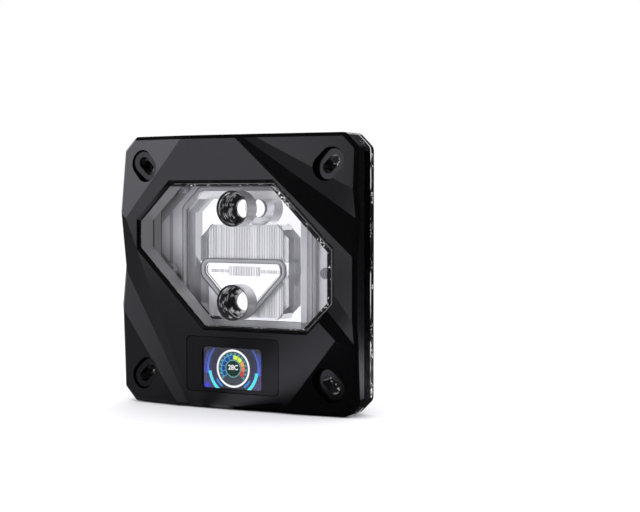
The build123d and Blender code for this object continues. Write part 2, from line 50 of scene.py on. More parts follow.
# Ports: the outlet above, the inlet below; levels are y, which grows towards the back
PORT_HEIGHTS = (23 * MM, -11 * MM)
THREAD_PITCH = 1.337 * MM
THREAD_OUTER = 6.53 * MM
THREAD_ROOT = 6.42 * MM
THREAD_CREST = 5.74 * MM
THREAD_START = -24.0 * MM
THREAD_END = -16.66 * MM
THREAD_LEAD_IN = 0.8 * MM
HOLE_REACH = 3.44 * MM
HOLE_END = -14.75 * MM
LINING = 0.1 * MM

# Lit area of the screen, and the height of the dial's middle
SCREEN_BEND = 1.4 * MM
SCREEN_CENTRE = -34.85 * MM
SCREEN_HALF_WIDTH = 12.4 * MM
SCREEN_HALF_HEIGHT = 7.45 * MM
SCREEN_TOP = SCREEN_CENTRE + SCREEN_HALF_HEIGHT
SCREEN_BOTTOM = SCREEN_CENTRE - SCREEN_HALF_HEIGHT
DIAL_CENTRE = -34.9 * MM

# Flat layers of the screen's picture, from the back to the front
SCREEN_LEVEL = -23.27 * MM
SCREEN_STEP = 0.015 * MM
GROUND_LAYER = 0
ARC_LAYER = 1
BRIGHT_ARC_LAYER = 2
DIAL_LAYER = 3
RING_LAYER = 4
TOP_LAYER = 5


# Camera: right of the middle and a little above it

def place_camera():
    data = bpy.data.cameras.new("camera")
    data.sensor_width = 36
    data.lens = 79.4
    data.clip_start = 0.01
    data.clip_end = 20
    camera = bpy.data.objects.new("camera", data)
    right = Vector((0.887011, 0.461749, 0))
    up = Vector((-0.019014, 0.036525, 0.999152))
    back = Vector((0.461357, -0.886258, 0.041178))
    turn = Matrix((right, up, back)).transposed().to_4x4()
    camera.matrix_world = Matrix.Translation((0.262886, -0.460427, 0.026884)) @ turn
    bpy.context.scene.collection.objects.link(camera)
    bpy.context.scene.camera = camera


# Shader building

class Nodes:
    """Short words for the nodes of one tree. Outputs are linked; numbers and colours go on the sockets."""

    def __init__(self, tree):
        self.tree = tree

    def add(self, kind, **settings):
        node = self.tree.nodes.new(kind)
        for key, value in settings.items():
            setattr(node, key, value)
        return node

    def give(self, socket, value):
        if isinstance(value, bpy.types.NodeSocket):
            self.tree.links.new(value, socket)
        elif socket.type == "RGBA":
            socket.default_value = (*value, 1)
        else:
            socket.default_value = value

    def fill(self, node, **values):
        """Gives inputs their values by name; an underscore stands for a space."""
        for socket, value in values.items():
            self.give(node.inputs[socket.replace("_", " ")], value)

    def maths(self, operation, *values):
        node = self.add("ShaderNodeMath", operation=operation)
        for place, value in enumerate(values):
            self.give(node.inputs[place], value)
        return node.outputs[0]

    def size(self, value):
        return self.maths("ABSOLUTE", value)

    def plus(self, first, second):
        return self.maths("ADD", first, second)

    def minus(self, first, second):
        return self.maths("SUBTRACT", first, second)

    def times(self, first, *others):
        for other in others:
            first = self.maths("MULTIPLY", first, other)
        return first

    def largest(self, first, *others):
        for other in others:
            first = self.maths("MAXIMUM", first, other)
        return first

    def least(self, first, second):
        return self.maths("MINIMUM", first, second)

    def left(self, *losses):
        """What the losses leave of 1."""
        share = 1.0
        for loss in losses:
            share = self.minus(share, loss)
        return share

    def length(self, first, second):
        """The length of a diagonal with these two sides."""
        return self.maths("SQRT", self.plus(self.times(first, first), self.times(second, second)))

    def beyond(self, value, limit):
        """How far a length lies past a limit in millimetres."""
        return self.minus(value, limit * MM)

    def short_of(self, value, limit):
        """How far a length lies before a limit in millimetres."""
        return self.minus(limit * MM, value)

    def ramp(self, value, low, high, start, end):
        """The value from low to high, stretched over start to end."""
        node = self.add("ShaderNodeMapRange")
        self.fill(node, Value=value, From_Min=low, From_Max=high, To_Min=start, To_Max=end)
        return node.outputs[0]

    def gate(self, value):
        """0 for a value up to 0, and 1 for a value just above it."""
        return self.ramp(value, 0.0, EDGE_SOFTNESS, 0.0, 1.0)

    def mix(self, share, first, second):
        """The first colour, turned into the second by its share."""
        node = self.add("ShaderNodeMix", data_type="RGBA")
        for place, value in ((0, share), (6, first), (7, second)):
            self.give(node.inputs[place], value)
        return node.outputs[2]

    def split(self, vector):
        node = self.add("ShaderNodeSeparateXYZ")
        self.give(node.inputs[0], vector)
        return node.outputs[0], node.outputs[1], node.outputs[2]

    def place(self):
        """The point's x, y and z in the part's own frame."""
        return self.split(self.add("ShaderNodeTexCoord").outputs["Object"])

    def noise(self, scale, stretch, detail):
        mapping = self.add("ShaderNodeMapping")
        self.fill(mapping, Vector=self.add("ShaderNodeTexCoord").outputs["Object"], Scale=stretch)
        texture = self.add("ShaderNodeTexNoise")
        self.fill(texture, Vector=mapping.outputs[0], Scale=scale, Detail=detail)
        return texture.outputs[0]


class Surface(Nodes):
    """A new material, whose shader takes the values by name."""

    def __init__(self, name, **values):
        self.material = bpy.data.materials.new(name)
        self.material.use_nodes = True
        super().__init__(self.material.node_tree)
        self.shader = self.tree.nodes["Principled BSDF"]
        self.shade(**values)

    def shade(self, **values):
        self.fill(self.shader, **values)

    def bump(self, height, strength, distance):
        node = self.add("ShaderNodeBump")
        self.fill(node, Height=height, Strength=strength, Distance=distance)
        self.shade(Normal=node.outputs[0])

    def blend(self, share, **values):
        """Lays a second shader over the first by its share."""
        second = self.add("ShaderNodeBsdfPrincipled")
        self.fill(second, **values)
        node = self.add("ShaderNodeMixShader")
        for place, value in enumerate((share, self.shader.outputs[0], second.outputs[0])):
            self.give(node.inputs[place], value)
        self.fill(self.tree.nodes["Material Output"], Surface=node.outputs[0])


# Materials; limits inside them are in millimetres

def plain(name, colour, roughness, **more):
    return Surface(name, Base_Color=colour, Roughness=roughness, **more)


def satin_black(name, roughness):
    """Black plastic with a very fine grain."""
    spread = 0.02
    surface = Surface(name, Base_Color=(0.0012, 0.0012, 0.0014))
    grains = surface.noise(3000, EVEN, 1.0)
    surface.shade(Roughness=surface.ramp(grains, 0.3, 0.7, roughness - spread, roughness + spread))
    surface.bump(grains, 0.03, 0.02 * MM)
    return surface


def cover_finish(name):
    """The same black, with painted shade in a ring round the floor of each counterbore, where the specular
    level drops nearly to nothing.
    """
    ring_inside = 4.05
    ring_outside = 4.82
    surface = satin_black(name, 0.16)
    x, _, z = surface.place()
    across = surface.size(x)
    up = surface.size(z)
    outwards = surface.times(surface.plus(across, up), DIAGONAL)
    from_middle = surface.size(surface.minus(outwards, SLOT_REACH))
    along = surface.largest(surface.minus(from_middle, SLOT_HALF_TRAVEL), 0.0)
    aside = surface.times(surface.minus(across, up), DIAGONAL)
    away = surface.length(along, aside)
    ring = surface.least(surface.beyond(away, ring_inside), surface.short_of(away, ring_outside))
    # Painted shade: the ring round the counterbore floor reflects almost nothing
    surface.shade(Specular_IOR_Level=surface.ramp(ring, 0.0, EDGE_SOFTNESS, 0.5, 0.02))
    return surface


def frame_finish(name):
    """The same black, but grey with a painted glow where the frame lies under the window block."""
    grey_glow_side = 42
    grey_glow_top = 34
    grey_glow_bottom = -22
    grey_glow_back = -9.9
    surface = satin_black(name, 0.28)
    x, y, z = surface.place()
    furthest = surface.largest(
        surface.beyond(surface.size(x), grey_glow_side),
        surface.beyond(z, grey_glow_top),
        surface.short_of(z, grey_glow_bottom),
        surface.beyond(y, grey_glow_back),
    )
    grey_glow = surface.ramp(furthest, -0.02 * MM, 0.0, 1.0, 0.0)
    # Painted glow: the grey area under the window block gives off a faint light
    surface.shade(
        Base_Color=surface.mix(grey_glow, (0.003, 0.003, 0.0034), (0.1, 0.1, 0.105)),
        Emission_Color=(1, 1, 1.05),
        Emission_Strength=surface.times(grey_glow, 0.1),
    )
    return surface


def clear_acrylic(name, refraction, wall_roughness):
    """Polished faces to the front and the back, with frosted milled walls between them."""
    surface = Surface(name, IOR=refraction)
    _, towards_back, _ = surface.split(surface.add("ShaderNodeNewGeometry").outputs["True Normal"])
    facing = surface.size(towards_back)
    wall = surface.ramp(facing, 0.3, 0.6, 1.0, 0.0)
    surface.shade(Roughness=surface.times(wall, wall_roughness))
    return surface, facing, wall


def body_acrylic(name):
    """The clear body: grey frosted walls with a painted glow in the outline, and painted dark edges with
    painted glints in them.
    """
    surface, facing, wall = clear_acrylic(name, 1.1, 0.25)
    x, y, z = surface.place()
    across = surface.size(x)
    up = surface.size(z)
    corner = surface.plus(across, up)
    beyond = surface.beyond
    short_of = surface.short_of

    # Outer edges of the whole body: polished, painted dark, with painted glints near the back and in the
    # corners
    body_side = 49.4
    body_corner = 94.0
    cut_corner = 93.0
    cut_side = 40
    seam_level = -12.8
    outer = surface.largest(beyond(across, body_side), beyond(up, body_side), beyond(corner, body_corner))
    outer = surface.gate(outer)
    inner = surface.left(outer)
    cut = surface.gate(surface.least(beyond(corner, cut_corner), beyond(across, cut_side)))
    seam = surface.gate(beyond(y, seam_level))
    outer_glints = surface.times(outer, surface.largest(seam, cut))

    # Slots through the corners: their walls painted dark, with painted glints
    slot_area = 33
    slots = surface.gate(surface.least(beyond(across, slot_area), beyond(up, slot_area)))
    slots = surface.times(slots, wall, inner)

    # The window block's outline and the groove behind it: grey with a painted glow, paler and with less glow
    # above the top wall
    outline_side = 31
    outline_end = 29
    groove_level = -14.9
    top_wall = 31.7
    outline = surface.gate(
        surface.largest(beyond(across, outline_side), beyond(up, outline_end), short_of(y, groove_level))
    )
    paler = surface.ramp(z, top_wall * MM, (top_wall + 0.1) * MM, 1.0, 0.45)
    outline = surface.times(outline, wall, inner, paler)

    # Milled walls, clearer in the ports
    port_side = 7
    port_top = 30
    port_bottom = -18
    port_end = -16.5
    within = surface.largest(
        beyond(across, port_side), beyond(z, port_top), short_of(z, port_bottom), beyond(y, port_end)
    )
    walls = surface.times(wall, inner, surface.ramp(within, -EDGE_SOFTNESS, 0.0, 0.25, 1.0))
    tint = surface.mix(walls, (0.95, 0.95, 0.96), (0.65, 0.65, 0.67))
    # The outline walls are grey and give off a painted glow
    surface.shade(
        Base_Color=surface.mix(outline, tint, (0.17, 0.17, 0.18)),
        Transmission_Weight=surface.left(surface.times(walls, 0.5), surface.times(outline, 0.38)),
        Emission_Color=(1, 1, 1.05),
        Emission_Strength=surface.times(outline, 0.06),
    )

    # The window block's bevel, and its rim at the top and the right: both painted dark, with painted glints
    rim_side = 38.5
    rim_top = 31.0
    rim_upper_corner = 32.95
    rim_lower_corner = 34.2
    rim_level = -23.6
    upper = surface.times(surface.plus(x, z), DIAGONAL)
    lower = surface.times(surface.minus(x, z), DIAGONAL)
    edge = surface.largest(
        beyond(x, rim_side),
        beyond(upper, rim_upper_corner),
        beyond(lower, rim_lower_corner),
        beyond(z, rim_top),
    )
    front = short_of(y, rim_level)
    rim = surface.gate(surface.least(edge, front))
    steep_enough = surface.ramp(facing, 0.62, 0.66, 0.0, 1.0)
    flat_enough = surface.ramp(facing, 0.76, 0.8, 1.0, 0.0)
    bevel = surface.times(steep_enough, flat_enough, surface.gate(front))

    # Painted glints in the painted dark edges: fine spots in patches, and a dashed line along the outer edge
    line_front = -12.7
    line_back = -12.1
    spots = surface.times(surface.noise(1500, (1, 0.6, 1), 2.0), 0.55)
    patches = surface.times(surface.noise(160, EVEN, 1.0), 0.45)
    glints = surface.ramp(surface.plus(spots, patches), 0.575, 0.66, 0.0, 0.9)
    line = surface.gate(surface.least(beyond(y, line_front), short_of(y, line_back)))
    dashes = surface.ramp(surface.noise(110, (1, 0.01, 1), 1.0), 0.48, 0.56, 0.0, 0.8)
    # Painted dark and painted glints: a black shader that gives off light in spots, laid over the edges,
    # bevel, rim and slot walls
    surface.blend(
        surface.largest(rim, bevel, outer_glints, slots),
        Base_Color=(0.006, 0.006, 0.007),
        Roughness=0.15,
        Specular_IOR_Level=0.15,
        Emission_Color=(1, 1, 1),
        Emission_Strength=surface.largest(glints, surface.times(outer, line, dashes)),
    )
    return surface


def jet_acrylic(name):
    """Clear plate with grey outer walls, frosted white with a painted glow on the face that the five-sided
    seal encloses.
    """
    plate_side = 18.4
    plate_end = 17.1
    plate_corner = 30.6
    seal_top = 3.4
    seal_slant = 12.6
    slant_across = 0.72
    slant_up = 0.694
    surface, _, wall = clear_acrylic(name, 1.12, 0.3)
    x, _, z = surface.place()
    across = surface.size(x)
    up = surface.size(z)
    outer = surface.largest(
        surface.beyond(across, plate_side),
        surface.beyond(up, plate_end),
        surface.beyond(surface.plus(across, up), plate_corner),
    )
    outer = surface.times(surface.gate(outer), wall)
    tint = surface.mix(wall, (0.95, 0.95, 0.96), (0.9, 0.9, 0.92))

    slant = surface.minus(surface.times(across, slant_across), surface.times(z, slant_up))
    outside = surface.largest(surface.beyond(z, seal_top), surface.beyond(slant, seal_slant))
    enclosed = surface.ramp(outside, 0.0, 0.1 * MM, 1.0, 0.0)
    frosted_glow = surface.times(enclosed, surface.left(wall))
    # Painted glow on the frosted face inside the seal
    surface.shade(
        Base_Color=surface.mix(outer, tint, (0.5, 0.5, 0.52)),
        Transmission_Weight=surface.left(surface.times(outer, 0.85), surface.times(frosted_glow, 0.7)),
        Emission_Color=(1, 1, 1.03),
        Emission_Strength=surface.times(frosted_glow, 0.4),
    )
    return surface


def inside_octagon(surface, half_width, half_height, cut):
    """1 inside an even octagon of x and z, 0 outside it."""
    x, _, z = surface.place()
    side = surface.beyond(surface.size(x), half_width)
    end = surface.beyond(surface.size(z), half_height)
    corner = surface.times(surface.plus(surface.plus(side, end), cut * MM), DIAGONAL)
    return surface.ramp(surface.largest(side, end, corner), 0.0, 0.1 * MM, 1.0, 0.0)


def plated_nickel(name):
    """Bright plating: mirror-like in the chamber, satin round it and brushed at the back, with painted light
    and shade on the fins and the flange.
    """
    rear_level = -9.5
    fin_level = -10.1
    dull_below = -18.4
    surface = Surface(name)
    x, y, z = surface.place()
    chamber = inside_octagon(surface, 23.7, 26.5, 5)
    rear = surface.ramp(y, rear_level * MM, (rear_level + 0.1) * MM, 0.0, 1.0)
    bright = surface.largest(chamber, rear)
    fins = surface.ramp(y, fin_level * MM, (fin_level + 0.1) * MM, 1.0, 0.0)
    low = surface.ramp(z, dull_below * MM, (dull_below + 0.1) * MM, 1.0, 0.0)
    low = surface.times(low, chamber, surface.left(rear))

    # Fins in painted stripes of light and shade, in two greys
    stripes = surface.ramp(surface.noise(420, (1, 0.01, 0.01), 1.0), 0.35, 0.65, 0.0, 1.0)
    striped = surface.mix(stripes, (0.74, 0.74, 0.76), (1.0, 1.0, 1.0))
    plating = surface.mix(fins, (0.95, 0.95, 0.97), striped)

    # Painted lighter band of the flange above the chamber, with a painted glow
    band_bottom = 26.3
    above = surface.times(
        surface.ramp(z, band_bottom * MM, (band_bottom + 0.3) * MM, 0.0, 1.0),
        surface.left(bright),
        inside_octagon(surface, 26.9, 31, 7.5),
    )
    flange = surface.mix(above, (0.64, 0.64, 0.66), (0.95, 0.95, 0.97))

    # Painted shade on the left corners, and one painted shadow stripe outside the seal
    upper_corner = 55.6
    lower_corner = -32.3
    stripe_middle = -34.3
    stripe_half_width = 0.78
    shaded = surface.largest(
        surface.beyond(surface.minus(z, x), upper_corner),
        surface.short_of(surface.plus(z, x), lower_corner),
        surface.short_of(surface.size(surface.beyond(x, stripe_middle)), stripe_half_width),
    )
    shaded = surface.ramp(shaded, -0.1 * MM, 0.1 * MM, 0.0, 1.0)
    flange = surface.mix(shaded, flange, (0.4, 0.4, 0.41))

    # Brushed lines at the back
    lines = surface.noise(300, (1, 1, 0.02), 3.0)
    brushed = surface.times(surface.ramp(lines, 0.3, 0.7, 0.12, 0.3), rear)
    satin = surface.times(surface.left(bright), 0.55)
    # Painted glow on the fins and on the lighter band above the chamber
    surface.shade(
        Base_Color=surface.mix(bright, flange, plating),
        Metallic=surface.left(low),
        Roughness=surface.largest(brushed, surface.times(fins, 0.3), satin, 0.04),
        Emission_Color=(1, 1, 1.02),
        Emission_Strength=surface.plus(surface.times(fins, 0.09), surface.times(above, 0.14)),
    )
    surface.bump(surface.times(lines, rear), 0.1, 0.01 * MM)
    return surface


def turned_steel(name):
    """Screw steel with fine turned rings round each head, and darker tips."""
    head_level = -8.1
    right_tips = 31
    head_middles = ((27.8, 30.7), (33.0, 0.0))
    ring_spacing = 0.12 * MM
    surface = Surface(name, Metallic=1.0, Roughness=0.22)
    x, y, z = surface.place()
    head = surface.ramp(y, head_level * MM, (head_level + 0.1) * MM, 0.0, 1.0)
    right = surface.ramp(x, right_tips * MM, (right_tips + 0.1) * MM, 0.0, 1.0)
    tip = surface.mix(right, (0.38, 0.38, 0.4), (0.16, 0.16, 0.17))
    surface.shade(Base_Color=surface.mix(head, tip, (0.62, 0.62, 0.64)))
    across = surface.size(x)
    up = surface.size(z)
    reaches = []
    for middle_across, middle_up in head_middles:
        reaches.append(surface.length(surface.beyond(across, middle_across), surface.beyond(up, middle_up)))
    rings = surface.maths("SINE", surface.times(surface.least(*reaches), 2 * math.pi / ring_spacing))
    surface.bump(rings, 0.35, 0.01 * MM)
    return surface


def lens_print(name):
    """Black print behind the lens, left clear over the lit area."""
    window_middle = -0.2
    surface = Surface(name, Base_Color=(0.004, 0.004, 0.005), Roughness=0.1, IOR=1.34)
    x, _, z = surface.place()
    across = surface.size(surface.beyond(x, window_middle))
    across = surface.largest(surface.minus(across, SCREEN_HALF_WIDTH - SCREEN_BEND), 0.0)
    up = surface.size(surface.minus(z, SCREEN_CENTRE))
    up = surface.largest(surface.minus(up, SCREEN_HALF_HEIGHT - SCREEN_BEND), 0.0)
    clear = surface.ramp(surface.length(across, up), SCREEN_BEND, SCREEN_BEND + 0.1 * MM, 1.0, 0.0)
    surface.blend(clear, Base_Color=(1, 1, 1), Transmission_Weight=1.0, Roughness=0.0, IOR=1.2)
    return surface


steel = turned_steel("steel")
brass = plain("brass", (0.8, 0.6, 0.3), 0.3, Metallic=1.0)
chip_black = plain("chip_black", (0.01, 0.01, 0.01), 0.5)

look = {
    "front_cover": cover_finish("cover_black"),
    "acrylic_body": body_acrylic("acrylic"),
    "rear_frame": frame_finish("frame_black"),
    "cold_plate": plated_nickel("nickel"),
    "jet_plate": jet_acrylic("jet_clear"),
    "jet_seal": plain("seal_grey", (0.45, 0.45, 0.47), 0.2),
    # Painted glow: the pale seal gives off a faint light
    "main_seal": plain(
        "seal_pale_glow", (0.35, 0.35, 0.37), 0.4, Emission_Color=(1, 1, 1.03), Emission_Strength=0.06
    ),
    "plate_screws": steel,
    "cover_screws": steel,
    "cover_inserts": brass,
    "screen_lens": lens_print("lens_dark"),
    "lens_gasket": plain("rubber_black", (0.01, 0.01, 0.01), 0.7),
    "display_panel": chip_black,
    "display_tray": steel,
    "display_board": plain("board_green", (0.01, 0.08, 0.04), 0.4),
    "board_chips": chip_black,
    "board_screws": steel,
    "board_inserts": brass,
    "lead_socket": chip_black,
    "socket_pins": brass,
    # Painted glow: the light strip and its chips are switched off, and their faint light is painted
    "light_strip": plain(
        "strip_white_glow", (0.3, 0.3, 0.32), 0.5, Emission_Color=(0.95, 0.95, 1.0), Emission_Strength=0.13
    ),
    "light_chips": plain(
        "light_resin_glow", (0.35, 0.35, 0.36), 0.4, Emission_Color=(0.95, 0.95, 1.0), Emission_Strength=0.15
    ),
}
for name, surface in look.items():
    nodes[name].data.materials.clear()
    nodes[name].data.materials.append(surface.material)


# Pieces

def piece(name, mesh, surfaces):
    """Links a mesh as a piece of the part."""
    data = bpy.data.meshes.new(name)
    mesh.to_mesh(data)
    mesh.free()
    obj = bpy.data.objects.new(name, data)
    bpy.context.scene.collection.objects.link(obj)
    for surface in surfaces:
        data.materials.append(surface.material)
    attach(obj, "root")


def on_circle(reach, angle, level, height):
    """A point on a circle that faces the front."""
    return reach * math.cos(angle), level, height + reach * math.sin(angle)


# Port threads: a thin lining in each port, painted dark inside, helical in the threaded length, then a floor
# and the narrow hole

def thread_reach(level, turn):
    """Inner radius of the thread at a level and a turn."""
    steepness = 1.9
    root_share = 0.45
    phase = (level / THREAD_PITCH + turn) % 1.0
    share = min(1.0, max(0.0, steepness * abs(2 * phase - 1) - root_share))
    mouth = min(1.0, (level - THREAD_START) / THREAD_LEAD_IN)
    depth = THREAD_CREST - THREAD_ROOT
    return max(THREAD_ROOT + depth * share, THREAD_ROOT + depth * mouth)


def make_threads(name, height, surfaces):
    around = 72
    steps = 80
    floor_level = THREAD_END - LINING
    mesh = bmesh.new()

    def ring(level, reach_at):
        row = []
        for number in range(around):
            angle = 2 * math.pi * number / around
            row.append(mesh.verts.new(on_circle(reach_at(number / around), angle, level, height)))
        return row

    rows = []
    strips = []
    for step in range(steps + 1):
        level = THREAD_START + (floor_level - THREAD_START) * step / steps
        rows.append(ring(level, lambda turn: thread_reach(level, turn)))
        strips.append((step < steps, 0))

    # Level and reach of each further ring; whether the strip after it is round, and its material
    profile = (
        (floor_level, HOLE_REACH - LINING, True, 0),
        (HOLE_END, HOLE_REACH - LINING, False, 1),
        (HOLE_END, HOLE_REACH, True, 1),
        (THREAD_END, HOLE_REACH, False, 1),
        (THREAD_END, THREAD_OUTER, True, 1),
        (THREAD_START, THREAD_OUTER, False, 0),
    )
    for level, reach, smooth, material in profile:
        rows.append(ring(level, lambda turn: reach))
        strips.append((smooth, material))

    for index, (smooth, material) in enumerate(strips):
        first = rows[index]
        second = rows[(index + 1) % len(rows)]
        for number in range(around):
            after = (number + 1) % around
            face = mesh.faces.new((first[number], second[number], second[after], first[after]))
            face.smooth = smooth
            face.material_index = material
    bmesh.ops.recalc_face_normals(mesh, faces=mesh.faces)
    piece(name, mesh, surfaces)


def thread_shine(name):
    """Clear threads painted dark, with painted highlights in streaks on their crests."""
    surface = Surface(name, Roughness=0.12, Emission_Color=(1, 1, 1.03))
    x, _, z = surface.place()
    reach = surface.least(*[surface.length(x, surface.minus(z, height)) for height in PORT_HEIGHTS])
    crest = surface.ramp(reach, THREAD_CREST + 0.02 * MM, THREAD_CREST + 0.3 * MM, 1.0, 0.0)
    streaks = surface.ramp(surface.noise(520, (0.7, 1.2, 0.7), 2.0), 0.49, 0.62, 0.0, 1.0)
    lit = surface.times(crest, streaks)
    # Painted highlights: the crests are lighter and give off light in streaks
    surface.shade(
        Base_Color=surface.mix(lit, (0.02, 0.02, 0.022), (0.6, 0.6, 0.63)),
        Emission_Strength=surface.times(lit, 0.12),
    )
    return surface


def bore_outside(name):
    """The bore seen through the clear body: grey with a painted glow, with painted streaks of light along it
    and fine rings of thread in the glow.
    """
    surface = Surface(name, Roughness=0.2, Emission_Color=(1, 1, 1.03))
    _, y, _ = surface.place()
    streaks = surface.ramp(surface.noise(260, (1, 0.12, 1), 1.0), 0.35, 0.65, 0.0, 1.0)
    turns = surface.maths("SINE", surface.times(y, 2 * math.pi / THREAD_PITCH))
    turns = surface.ramp(turns, -1.0, 1.0, 0.85, 1.0)
    # Painted glow, in streaks and in fine rings of thread
    surface.shade(
        Base_Color=surface.mix(streaks, (0.14, 0.14, 0.15), (0.5, 0.5, 0.53)),
        Emission_Strength=surface.times(surface.ramp(streaks, 0.0, 1.0, 0.3, 0.65), turns),
    )
    return surface


thread_surfaces = (thread_shine("thread_dark"), bore_outside("thread_outside"))
for name, height in zip(("outlet_threads", "inlet_threads"), PORT_HEIGHTS):
    make_threads(name, height, thread_surfaces)


# Screen picture: flat shapes on the display, under the lens; reaches are in millimetres

def light_only(name, **values):
    """A surface that gives off light and reflects none."""
    return Surface(name, Base_Color=(0, 0, 0), Specular_IOR_Level=0.0, **values)


def glow(name, colour):
    return light_only(name, Roughness=1.0, Emission_Color=colour, Emission_Strength=1.0)


def ground_glow():
    """Dark grey at the top, violet below and bright blue in the lower left corner."""
    corner_across = SCREEN_HALF_WIDTH - 1.2 * MM
    corner_up = SCREEN_BOTTOM + 0.8 * MM
    flatness = math.sqrt(0.4)
    surface = light_only("screen_ground", Emission_Strength=1.0)
    x, _, z = surface.place()
    down = surface.ramp(z, SCREEN_BOTTOM, SCREEN_TOP, 1.0, 0.0)
    side = surface.ramp(surface.size(x), 0.4 * SCREEN_HALF_WIDTH, SCREEN_HALF_WIDTH, 0.0, 1.0)
    violet = surface.times(surface.maths("POWER", down, 1.5), side)
    colour = surface.mix(violet, (0.04, 0.042, 0.06), (0.1, 0.08, 0.22))
    away_across = surface.times(surface.plus(x, corner_across), flatness)
    away = surface.length(away_across, surface.minus(z, corner_up))
    corner = surface.ramp(away, 0.4 * MM, 1.4 * MM, 1.0, 0.0)
    surface.shade(Emission_Color=surface.mix(corner, colour, (0.06, 0.07, 0.62)))
    return surface


def arc_glow(name, low, high, strength):
    """A colour that runs from the lower end of an arc to its upper end."""
    surface = light_only(name, Emission_Strength=strength)
    _, _, z = surface.place()
    up = surface.ramp(z, SCREEN_BOTTOM, SCREEN_TOP, 0.0, 1.0)
    surface.shade(Emission_Color=surface.mix(up, low, high))
    return surface


def flat_piece(name, surfaces, layer, draw, *measures):
    """A shape of the picture, drawn on its layer and turned to face the front."""
    mesh = bmesh.new()
    draw(mesh, SCREEN_LEVEL - layer * SCREEN_STEP, *measures)
    bmesh.ops.remove_doubles(mesh, verts=mesh.verts, dist=1e-7)
    for face in mesh.faces:
        face.normal_update()
        if face.normal.y > 0:
            face.normal_flip()
    piece(name, mesh, surfaces)


def draw_rectangle(mesh, level):
    points = []
    for across, up in ((-1, -1), (1, -1), (1, 1), (-1, 1)):
        point = (across * SCREEN_HALF_WIDTH, level, SCREEN_CENTRE + up * SCREEN_HALF_HEIGHT)
        points.append(mesh.verts.new(point))
    mesh.faces.new(points)


def draw_disc(mesh, level, reach):
    count = 64
    points = []
    for number in range(count):
        angle = 2 * math.pi * number / count
        points.append(mesh.verts.new(on_circle(reach * MM, angle, level, DIAL_CENTRE)))
    mesh.faces.new(points)


def draw_band(mesh, level, inner, outer, start, end, steps=None, index=0):
    """An arc band; angles in degrees, 0 to the right, counterclockwise seen from the front."""
    count = steps or max(2, int(abs(end - start) / 4))
    pairs = []
    for number in range(count + 1):
        angle = math.radians(start + (end - start) * number / count)
        points = [on_circle(reach * MM, angle, level, DIAL_CENTRE) for reach in (inner, outer)]
        pairs.append([mesh.verts.new(point) for point in points])
    for first, second in zip(pairs, pairs[1:]):
        face = mesh.faces.new((first[0], first[1], second[1], second[0]))
        face.material_index = index


def draw_arc_pair(mesh, level, inner, outer, start, end):
    """An arc band and its mirror image, kept to the lit rectangle."""
    limits = (
        ((SCREEN_HALF_WIDTH, 0, 0), (1, 0, 0)),
        ((-SCREEN_HALF_WIDTH, 0, 0), (-1, 0, 0)),
        ((0, 0, SCREEN_TOP), (0, 0, 1)),
        ((0, 0, SCREEN_BOTTOM), (0, 0, -1)),
    )
    for first_angle, last_angle in ((start, end), (180 - end, 180 - start)):
        draw_band(mesh, level, inner, outer, first_angle, last_angle, steps=40)
        for point, normal in limits:
            everything = list(mesh.verts) + list(mesh.edges) + list(mesh.faces)
            bmesh.ops.bisect_plane(mesh, geom=everything, plane_co=point, plane_no=normal, clear_outer=True)


def draw_ticks(mesh, level):
    count = 16
    first_angle = -42
    whole_turn = 272
    tick_turn = 9
    for number in range(count):
        start = first_angle + number * whole_turn / count
        draw_band(mesh, level, 5.0, 5.8, start, start + tick_turn, steps=2)


# The dial's gauge: coloured fields clockwise from the lower left, with lines along and between the first ones
GAUGE_INNER = 3.4
GAUGE_OUTER = 4.9
GAUGE_LINE_INNER = 4.8
GAUGE_LINE_OUTER = 5.05
GAUGE_START = 218
GAUGE_TURN = 26
GAUGE_FIELD = 23.5
GAUGE_LINE_END = 92
GAUGE_LINES = 6
GAUGE_COLOURS = (
    (0.015, 0.07, 0.3), (0.015, 0.06, 0.28), (0.015, 0.06, 0.26), (0.02, 0.07, 0.3), (0.02, 0.08, 0.34),
    (0.72, 0.9, 0.1), (0.75, 0.95, 0.1), (0.8, 0.42, 0.12), (0.78, 0.22, 0.12), (0.6, 0.06, 0.07),
)


def draw_gauge(mesh, level):
    for number in range(len(GAUGE_COLOURS)):
        start = GAUGE_START - number * GAUGE_TURN
        draw_band(mesh, level, GAUGE_INNER, GAUGE_OUTER, start, start - GAUGE_FIELD, index=number)


def draw_gauge_edge(mesh, level):
    half_line = 1.5
    draw_band(mesh, level, GAUGE_LINE_INNER, GAUGE_LINE_OUTER, GAUGE_START, GAUGE_LINE_END)
    for number in range(GAUGE_LINES):
        middle = GAUGE_START + 1 - number * GAUGE_TURN
        start = middle + half_line
        end = middle - half_line
        draw_band(mesh, level, GAUGE_INNER, GAUGE_LINE_INNER, start, end, steps=1)


